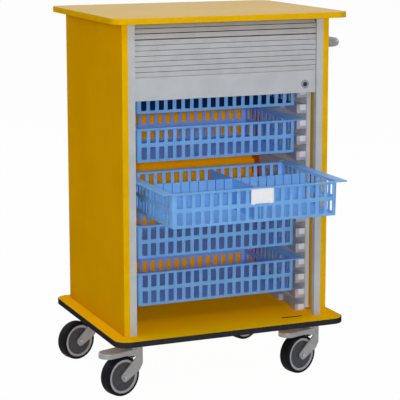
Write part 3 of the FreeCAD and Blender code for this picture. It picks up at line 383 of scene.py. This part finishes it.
def lathe_into(bm, profile, place, segments):
    """Adds a closed solid of revolution about local Y; the profile is (radius, along Y) in millimetres."""
    rings = []
    for index in range(segments):
        angle = 2 * math.pi * index / segments
        around = Vector((math.cos(angle), 0, math.sin(angle)))
        ring = [around * radius + Vector((0, along, 0)) for radius, along in profile]
        rings.append([bm.verts.new(place @ (point * MM)) for point in ring])
    for index in range(segments):
        here, there = rings[index], rings[(index + 1) % segments]
        for step in range(len(profile)):
            following = (step + 1) % len(profile)
            bm.faces.new((here[step], there[step], there[following], here[following]))


def rounded_profile(points, radius, steps):
    """A closed outline with its corners rounded, by less than half of each side; points are (x, y)."""
    most = 0.45
    result = []
    count = len(points)
    for index in range(count):
        before, here, after = (Vector(points[(index + shift) % count]) for shift in (-1, 0, 1))
        into, away = (before - here), (after - here)
        reach = min(radius, into.length * most, away.length * most)
        start, end = here + into.normalized() * reach, here + away.normalized() * reach
        for step in range(steps + 1):
            t = step / steps
            result.append(tuple((1 - t) ** 2 * start + 2 * t * (1 - t) * here + t * t * end))
    return result


# ---------------------------------------------------------------- CAD nodes: materials and rounded edges
# Rounding of the edges, in millimetres.
EDGES = {
    "worktop_edge_band": 1.0,
    "base_edge_band": 1.0,
    "side_panel": 0.5,
    "shutter_guide": 0.6,
    "bottom_rail": 0.8,
    "runner_panel": 1.2,
    "runners": 0.8,
    "fork": 1.6,
    "castor_plate": 0.6,
    "brake_pedal": 0.7,
    "label_holder": 0.6,
    "divider": 0.3,
    "lock_housing": 0.3,
    "handle_rosettes": 1.2,
}
for name, item in NODES.items():
    item.data.materials.clear()
    item.data.materials.append(finish_of(name))
    edge = next((width for key, width in EDGES.items() if name.startswith(key)), None)
    if edge:
        bevelled(item, edge)


def second_material(node, material, chosen):
    """Gives another material to the faces whose normal passes a test."""
    data = NODES[node].data
    data.materials.append(material)
    for polygon in data.polygons:
        if chosen(polygon.normal):
            polygon.material_index = 1


for side in ("left", "right"):
    second_material(f"side_panel_{side}", YELLOW_EDGE, lambda normal: abs(normal.y) > 0.9)
# The back panel's other faces keep the plain yellow, without the painted light.
second_material("back_panel", YELLOW, lambda normal: normal.y > -0.5)


# ---------------------------------------------------------------- baskets, in millimetres
LONG, DEEP, TALL = (round((high - low) / MM, 3) for low, high in zip(*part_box("basket_1")))
FLANGE = 3.0
FLANGE_X, FLANGE_Y, FLANGE_CORNER = LONG / 2, DEEP / 2, 9.0
HALF_X, HALF_Y, WALL = FLANGE_X - 32.0, FLANGE_Y - 8.0, 2.5
TUB_DEEP = TALL - FLANGE
DRAFT = math.tan(math.radians(1.2))
CORNER, ARC_STEPS = 8.0, 4
SLOT_PITCH, SLOT_WIDE = 28.65, 17.4
ROWS = ((-93.5, -55.5), (-43.0, -5.0))
END_SLOTS, SIDE_SLOTS = 18, 12
SLOT_ROUND, ROUND_STEPS = 2.4, 3
RIM_EDGE, MOUTH_EDGE = 0.6, 0.8
OUTSIDE, INSIDE, RIM = 0, 1, 2


def side_stations(half, slots):
    """Marks along one side, corner arc excluded: the slot cells between plain margins."""
    reach = slots * SLOT_PITCH / 2
    return [-(half - CORNER)] + [-reach + index * SLOT_PITCH for index in range(slots + 1)] + [half - CORNER]


def perimeter():
    """Stations round the basket, and the numbers of those that start a slot cell.

    Each station is an outer point, its outward normal and the flange's point.
    """
    stations, cells = [], []
    ends = ((HALF_X, HALF_Y), (FLANGE_X, FLANGE_Y), END_SLOTS)
    flanks = ((HALF_Y, HALF_X), (FLANGE_Y, FLANGE_X), SIDE_SLOTS)
    sides = (
        ((0, -1), (1, 0), *ends),
        ((1, 0), (0, 1), *flanks),
        ((0, 1), (-1, 0), *ends),
        ((-1, 0), (0, -1), *flanks),
    )
    for normal, along, (half, reach), (flange_half, flange_reach), slots in sides:
        normal, along = Vector(normal), Vector(along)
        for index, mark in enumerate(side_stations(half, slots)):
            if 1 <= index <= slots:
                cells.append(len(stations))
            stations.append((normal * reach + along * mark, normal, normal * flange_reach + along * mark))
        centre = normal * (reach - CORNER) + along * (half - CORNER)
        flange_centre = normal * (flange_reach - FLANGE_CORNER) + along * (flange_half - FLANGE_CORNER)
        for step in range(1, ARC_STEPS):
            angle = math.pi / 2 * step / ARC_STEPS
            out = normal * math.cos(angle) + along * math.sin(angle)
            stations.append((centre + out * CORNER, out, flange_centre + out * FLANGE_CORNER))
    return stations, cells


def basket_mesh():
    """One watertight basket: tapered slotted walls, floor and flange.

    The flange's underside is at z = 0. Faces say by their material whether they are outside, inside or on top
    of the flange; the inside and the flange's top carry painted shade and painted light.
    """
    bm = bmesh.new()
    stations, cells = perimeter()
    count = len(stations)
    levels = (-TUB_DEEP, (ROWS[0][1] + ROWS[1][0]) / 2, 0.0)

    def wall_point(flat, normal, level, inside):
        """Vertex of the tapered wall at this level, under its point at the flange."""
        inset = -level * DRAFT + (WALL if inside else 0)
        flat = flat - normal * inset
        return bm.verts.new(Vector((flat.x, flat.y, level)) * MM)

    grid = {}
    for index, (place, normal, _) in enumerate(stations):
        for row, level in enumerate(levels):
            for inside in (False, True):
                height = max(level, WALL - TUB_DEEP) if inside else level
                grid[index, row, inside] = wall_point(place, normal, height, inside)

    def cell(index, row, inside):
        """The four corners of a wall cell, anticlockwise seen from outside."""
        following = (index + 1) % count
        places = ((index, row), (following, row), (following, row + 1), (index, row + 1))
        return [grid[station, level, inside] for station, level in places]

    def slot_loop(start, row, inside):
        """Rounded slot between two stations, anticlockwise seen from outside."""
        first, second = stations[start][0], stations[(start + 1) % count][0]
        normal = stations[start][1]
        middle, along = (first + second) / 2, (second - first).normalized()
        low, high = ROWS[row]
        half = SLOT_WIDE / 2
        corners = ((-half, low), (half, low), (half, high), (-half, high))
        outline = rounded_profile(corners, SLOT_ROUND, ROUND_STEPS)
        return [wall_point(middle + along * x, normal, z, inside) for x, z in outline]

    def slotted_cell(index, row, inside):
        """Faces of a wall cell round its slot, whose loop it gives back."""
        loop = slot_loop(index, row, inside)
        outer = cell(index, row, inside)
        steps = ROUND_STEPS + 1
        for corner in range(4):
            arc = loop[corner * steps : (corner + 1) * steps]
            for first, second in zip(arc, arc[1:]):
                bm.faces.new((outer[corner], first, second)).material_index = int(inside)
            nearest = loop[((corner + 1) % 4) * steps]
            last = bm.faces.new((outer[corner], arc[-1], nearest, outer[(corner + 1) % 4]))
            last.material_index = int(inside)
        return loop

    for index in range(count):
        for row in range(2):
            if index in cells:
                ring_faces(bm, *(slotted_cell(index, row, inside) for inside in (False, True)))
            else:
                for inside in (False, True):
                    bm.faces.new(cell(index, row, inside)).material_index = int(inside)
    for inside in (False, True):
        bm.faces.new([grid[index, 0, inside] for index in range(count)]).material_index = int(inside)
    rim = []
    for height, shrink in ((0.0, 0.0), (FLANGE - RIM_EDGE, 0.0), (FLANGE, RIM_EDGE)):
        loop = []
        for _, normal, edge in stations:
            flat = edge - normal * shrink
            loop.append(bm.verts.new(Vector((flat.x, flat.y, height)) * MM))
        rim.append(loop)
    mouth = []
    for height, spread in ((FLANGE - MOUTH_EDGE, 0.0), (FLANGE, MOUTH_EDGE)):
        loop = []
        for place, normal, _ in stations:
            flat = place - normal * (WALL - spread)
            loop.append(bm.verts.new(Vector((flat.x, flat.y, height)) * MM))
        mouth.append(loop)
    under = [grid[index, 2, False] for index in range(count)]
    inner = [grid[index, 2, True] for index in range(count)]
    chain = [under, *rim, mouth[1], mouth[0], inner]
    for first, second in zip(chain, chain[1:]):
        for face in ring_faces(bm, first, second):
            face.material_index = RIM if second is mouth[1] else OUTSIDE
    bmesh.ops.recalc_face_normals(bm, faces=bm.faces)
    mesh = bpy.data.meshes.new("slotted_basket")
    bm.to_mesh(mesh)
    bm.free()
    for material in (BASKET_BLUE, BASKET_INSIDE_PAINTED_SHADE, BASKET_RIM_PAINTED_LIGHT):
        mesh.materials.append(material)
    shade(mesh, 30)
    return mesh


shared_basket = basket_mesh()
for number in range(1, 6):
    node = f"basket_{number}"
    low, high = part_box(node)
    mesh = shared_basket.copy()
    # Painted shade inside basket 1 and painted light inside basket 3; the others take the painted shade tint.
    mesh.materials[INSIDE] = {1: BASKET_PAINTED_SHADE, 3: BASKET_PAINTED_LIGHT}.get(number, BASKET_INSIDE_PAINTED_SHADE)
    piece = bpy.data.objects.new(f"moulded_{node}", mesh)
    bpy.context.collection.objects.link(piece)
    piece.location = ((low[0] + high[0]) / 2, (low[1] + high[1]) / 2, high[2] - FLANGE * MM)
    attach(piece, node)
    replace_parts(piece, node)


# ---------------------------------------------------------------- shutter
def joint_of(name):
    """A joint of the frame, by its name."""
    return next(joint for joint in frame["joints"] if joint["name"] == name)


RAIL_LOW, RAIL_HIGH = (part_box("bottom_rail")[side][2] / MM for side in (0, 1))
PATH_Y = sum(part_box("bottom_rail")[side][1] for side in (0, 1)) / 2 / MM
SLAT_PITCH, SLAT_THICK, SLAT_JOINT = 16.0, 8.0, 0.3
SLAT_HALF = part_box("stored_slats")[1][0] / MM
CURVE_RADIUS, CURVE_START = 45.0, 1085.1
SHUTTER_DROP = -joint_of("shutter_slide")["range_m"][0]
STRAIGHT, SHOWN = 7, 10
BEND_GAP = 1.0
# Sides of a slat's section that are dark grooves, two at each front edge.
GROOVE_FACES = (1, 2, 6, 7)
# The thin slats behind the others: how far behind the path, their bevel, the gaps over and under them, and
# the shares of a slat's height that are joint and bevel.
FOLLOW_FRONT, FOLLOW_BACK, FOLLOW_BEVEL = 4.3, 7.5, 1.2
TOP_GAP, FOOT_GAP = 0.5, 0.3
JOINT_SHARE, BEVEL_SHARE = 0.03, 0.1


def slat_section(height):
    """Outline of a slat, (y, z) about its middle: a groove at each front edge and a back drawn in."""
    half, thick = (height - SLAT_JOINT) / 2, SLAT_THICK / 2
    front = [(-thick + 2.6, half - 0.2), (-thick + 0.4, half - 0.45), (-thick, half - 0.8)]
    outline = [(thick, half - 0.9), (0, half)] + front
    return outline + [(y, -z) for y, z in reversed(outline)]


def slat_into(bm, y, z, slope, height):
    """Adds a slat across the cabinet, leaning back by a slope in radians."""
    turn = Matrix.Rotation(-slope, 4, "X")
    place = Matrix.Translation(Vector((0, y, z)) * MM) @ turn
    ends = []
    for x in (-SLAT_HALF, SLAT_HALF):
        ends.append([bm.verts.new(place @ (Vector((x, py, pz)) * MM)) for py, pz in slat_section(height)])
    sides = ring_faces(bm, *ends)
    for index in GROOVE_FACES:
        sides[index].material_index = 1
    for loop in ends:
        bm.faces.new(loop)


def path_point(travel):
    """Where a slat's middle is, that far along the path above the top of the rail, and how it leans."""
    rise = CURVE_START - RAIL_HIGH
    if travel <= rise:
        return PATH_Y, RAIL_HIGH + travel, 0.0
    angle = (travel - rise) / CURVE_RADIUS
    back = CURVE_RADIUS * (1 - math.cos(angle))
    return PATH_Y + back, CURVE_START + CURVE_RADIUS * math.sin(angle), angle


for name, first, last in (("straight_slats", 0, STRAIGHT), ("curved_slats", STRAIGHT, SHOWN)):
    bm = bmesh.new()
    for index in range(first, last):
        past_bend = BEND_GAP if index >= STRAIGHT else 0.0
        y, z, slope = path_point((index + 0.5) * SLAT_PITCH + past_bend)
        slat_into(bm, y, z, slope, SLAT_PITCH)
    if name == "straight_slats":
        hanging = finished(name, bm, (SLAT_GREY, JOINT_DARK), "shutter")
        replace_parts(hanging, "shutter_slats")
        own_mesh(hanging)
    else:
        finished(name, bm, (SLAT_GREY, JOINT_DARK), "cabinet")


def rest_height(low_height, top, bottom):
    """Height at rest of a point of the curtain that has this height when the shutter is lowest."""
    near, far = bottom, top
    for _ in range(40):
        middle = (near + far) / 2
        share = (top - middle) / (top - bottom)
        lowered = middle - SHUTTER_DROP / MM * share * share * (3 - 2 * share)
        near, far = (middle, far) if lowered < low_height else (near, middle)
    return (near + far) / 2


def curtain():
    """Thin slats stacked behind the others at rest, spaced for the gap above the rail when the shutter is lowest;
    they are built fixed, on no body.
    """
    top, bottom = CURVE_START - TOP_GAP, RAIL_HIGH + FOOT_GAP
    marks = []
    height = top
    while height > bottom - SHUTTER_DROP / MM:
        marks.append(rest_height(height, top, bottom))
        height -= SLAT_PITCH
    marks.append(bottom)
    bm = bmesh.new()
    front, back = PATH_Y + FOLLOW_FRONT, PATH_Y + FOLLOW_BACK
    for upper, lower in zip(marks, marks[1:]):
        tall = upper - lower
        joint, bevel = tall * JOINT_SHARE, tall * BEVEL_SHARE
        section = [
            (back, upper - joint),
            (front + FOLLOW_BEVEL, upper - joint),
            (front, upper - joint - bevel),
            (front, lower + joint + bevel),
            (front + FOLLOW_BEVEL, lower + joint),
            (back, lower + joint),
        ]
        ends = [[bm.verts.new(Vector((x, y, z)) * MM) for y, z in section] for x in (-SLAT_HALF, SLAT_HALF)]
        ring_faces(bm, *ends)
        for loop in ends:
            bm.faces.new(loop)
    piece = finished("following_slats", bm, SLAT_GREY, None)
    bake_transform(piece)


curtain()


# ---------------------------------------------------------------- castors
def frame_of(corner):
    """Place of the wheel: its middle, with local Y along the axle."""
    low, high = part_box(f"axle_{corner}")
    middle = (Vector(low) + Vector(high)) / 2
    axis = Vector(joint_of(f"roll_{corner}")["axis"])
    turn = math.atan2(-axis.x, axis.y)
    return Matrix.Translation(middle) @ Matrix.Rotation(turn, 4, "Z")


# Profiles of the wheel: (radius, along the axle from its middle).
WHEEL_R = 62.5
TREAD_HALF = ((53.0, 20.0), (56.5, 20.0), (58.6, 19.2), (60.4, 17.6), (61.7, 15.0), (62.35, 11.0), (WHEEL_R, 5.5))
TREAD_PROFILE = [(radius, -along) for radius, along in TREAD_HALF] + list(reversed(TREAD_HALF))
RING_PROFILE = rounded_profile(
    (
        (45.0, -18.5),
        (52.9, -18.5),
        (52.9, 18.5),
        (45.0, 18.5),
        (45.0, 13.0),
        (13.0, 13.0),
        (13.0, 21.5),
        (4.1, 21.5),
        (4.1, -21.5),
        (13.0, -21.5),
        (13.0, -13.0),
        (45.0, -13.0),
    ),
    radius=0.8,
    steps=2,
)
# Painted shade: faces of the wheel centre nearer to the axle than this are painted dark, for the shade round the
# end of the fork's arm.
HUB_PAINTED_SHADE_REACH = 14.0
GUARD_PROFILE = (
    (13.6, 14.1),
    (44.5, 14.1),
    (44.5, 16.2),
    (43.6, 16.9),
    (40.0, 16.9),
    (24.0, 17.4),
    (20.0, 17.9),
    (13.6, 18.2),
)
# The brake's plunger stands behind the wheel, near black, and is partly painted shade that fills the gap above the
# tread between the fork's arms; its profile is (radius, height above the axle).
PLUNGER_BEHIND = 50.0
PLUNGER_PROFILE = ((0.4, 48.5), (6.2, 48.5), (7.0, 49.3), (7.0, 80.0), (0.4, 80.0))
for corner in CORNERS:
    place = frame_of(corner)
    wheel = f"wheel_{corner}"
    bm = bmesh.new()
    lathe_into(bm, TREAD_PROFILE, place, 96)
    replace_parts(finished(f"rubber_{corner}", bm, RUBBER, wheel), f"tread_{corner}")
    bm = bmesh.new()
    lathe_into(bm, RING_PROFILE, place, 72)
    axle_line = place @ Vector((0, 1, 0)) - place.translation
    for face in bm.faces:
        away = face.calc_center_median() - place.translation
        if (away - axle_line * away.dot(axle_line)).length < HUB_PAINTED_SHADE_REACH * MM:
            face.material_index = 1
    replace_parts(finished(f"wheel_body_{corner}", bm, (RING_GREY, DISC_GREY), wheel), f"wheel_centre_{corner}")
    bm = bmesh.new()
    lathe_into(bm, GUARD_PROFILE, place, 72)
    lathe_into(bm, [(radius, -along) for radius, along in GUARD_PROFILE], place, 72)
    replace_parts(finished(f"guard_discs_{corner}", bm, DISC_GREY, wheel), f"thread_guards_{corner}")

for corner in CORNERS[:2]:
    behind = Matrix.Translation(Vector((PLUNGER_BEHIND, 0, 0)) * MM)
    place = frame_of(corner) @ behind @ Matrix.Rotation(math.radians(90), 4, "X")
    bm = bmesh.new()
    lathe_into(bm, PLUNGER_PROFILE, place, 24)
    finished(f"brake_plunger_and_shade_{corner}", bm, JOINT_DARK, f"swivel_{corner}")

# ---------------------------------------------------------------- small fittings
# The lug on the front end of each runner, a little smaller than the runner.
RUNNERS, RUNNER_PITCH = 19, 50
LOWEST_RUNNER = round(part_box("runners_right")[1][2] / MM) - (RUNNERS - 1) * RUNNER_PITCH
LUG_X, LUG_Y, LUG_Z = (282.5, 303.0), (-175.4, -172.0), (-19.0, -0.3)
bm = bmesh.new()
for side in (-1, 1):
    near, far = sorted(side * x for x in LUG_X)
    for index in range(RUNNERS):
        top = LOWEST_RUNNER + index * RUNNER_PITCH
        box_into(bm, (near, LUG_Y[0], top + LUG_Z[0]), (far, LUG_Y[1], top + LUG_Z[1]))
lugs = finished("runner_stops", bm, LUG_WHITE, "cabinet")
bevelled(lugs, 1.6, 3)

TAB_INSET, TAB_HALF, TAB_RISE = 8, 5, 2.2
low, high = (Vector(corner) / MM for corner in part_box("label_holder"))
bm = bmesh.new()
for x in (low.x + TAB_INSET, high.x - TAB_INSET):
    for z in (high.z, low.z):
        box_into(bm, (x - TAB_HALF, low.y + 1.0, z - TAB_RISE), (x + TAB_HALF, high.y - 0.6, z + TAB_RISE))
tabs = finished("label_tabs", bm, LABEL_WHITE, "basket_3")
bevelled(tabs, 0.6)

# ---------------------------------------------------------------- floor, light and camera
SEEN_WHITE = ("Is Camera Ray", "Is Glossy Ray", "Is Transmission Ray")


def any_ray(tree, outputs):
    """1 where the ray is of one of these kinds."""
    path = tree.nodes.new("ShaderNodeLightPath")
    total = path.outputs[outputs[0]]
    for output in outputs[1:]:
        total = calculated(tree, "MAXIMUM", total, path.outputs[output])
    return total


def white_floor(name, shown):
    """Pale floor that keeps the cabinet's shadow and is white elsewhere to the camera."""
    finish = Finish(name, Roughness=0.9, Specular_IOR_Level=0.1)
    finish.shades(srgb(236, 236, 236), srgb(240, 240, 240), finish.noise(3))
    tree = finish.tree
    glow = tree.nodes.new("ShaderNodeEmission")
    glow.inputs["Color"].default_value = (1, 1, 1, 1)
    glow.inputs["Strength"].default_value = 1.0
    weight = calculated(tree, "MULTIPLY", any_ray(tree, SEEN_WHITE), shown)
    mixed = tree.nodes.new("ShaderNodeMixShader")
    tree.links.new(weight, mixed.inputs["Fac"])
    tree.links.new(finish.shader.outputs[0], mixed.inputs[1])
    tree.links.new(glow.outputs[0], mixed.inputs[2])
    tree.links.new(mixed.outputs[0], node_of(tree, "OUTPUT_MATERIAL").inputs["Surface"])
    return finish.material


bpy.ops.mesh.primitive_plane_add(size=60, location=(0, 0, 0))
floor = bpy.context.object
floor.name = "floor"
floor.data.materials.append(white_floor("floor_white", shown=0.975))

# The world lights at a low level and is white to the camera and in gloss.
AMBIENT = 0.22
world = bpy.data.worlds.new("studio")
bpy.context.scene.world = world
world.use_nodes = True
nodes, links = world.node_tree.nodes, world.node_tree.links
background = nodes["Background"]
background.inputs["Color"].default_value = (1, 1, 1, 1)
background.inputs["Strength"].default_value = AMBIENT
shown = nodes.new("ShaderNodeBackground")
shown.inputs["Color"].default_value = (1, 1, 1, 1)
shown.inputs["Strength"].default_value = 1.0
mixed = nodes.new("ShaderNodeMixShader")
links.new(any_ray(world.node_tree, SEEN_WHITE), mixed.inputs["Fac"])
links.new(background.outputs[0], mixed.inputs[1])
links.new(shown.outputs[0], mixed.inputs[2])
links.new(mixed.outputs[0], nodes["World Output"].inputs["Surface"])


def lamp(name, place, target, size, power, shadows=True):
    """A round area lamp that looks at a target; size in metres, power in watts."""
    data = bpy.data.lights.new(name, "AREA")
    data.use_shadow = shadows
    data.shape = "DISK"
    data.size = size
    data.energy = power
    item = bpy.data.objects.new(name, data)
    bpy.context.collection.objects.link(item)
    item.location = place
    aim = Vector(target) - Vector(place)
    item.rotation_euler = aim.to_track_quat("-Z", "Y").to_euler()


lamp("front", (-2.45, -5.9, 1.75), (0, 0, 0.6), 0.4, 170)
lamp("high", (-0.8, -3.6, 3.6), (0, 0, 0.5), 1.5, 38)
lamp("fill", (-0.6, -2.8, 4.8), (0, 0, 0.5), 1.5, 40, shadows=False)
lamp("left", (-4.5, -0.6, 3.2), (0, 0, 0.6), 1.6, 20)
lamp("right", (4.8, 1.2, 2.4), (0, 0, 0.6), 2.0, 40)
lamp("top", (0.6, 0.4, 4.2), (0, 0, 0.6), 2.6, 8)
lamp("rear", (-2.2, 4.8, 2.6), (0, 0, 0.6), 2.6, 80)

camera_data = bpy.data.cameras.new("camera")
camera = bpy.data.objects.new("camera", camera_data)
bpy.context.collection.objects.link(camera)
camera_data.sensor_width = 36.0
camera_data.lens = 140.94
camera_data.shift_x = -0.025
camera_data.shift_y = -0.0765
camera_data.clip_end = 100
camera.location = (-1.907, -4.577, 1.503)
camera.rotation_euler = (math.radians(90 - 9.86), 0, math.radians(-23.12))
bpy.context.scene.camera = camera
bpy.context.scene.view_settings.view_transform = "Standard"
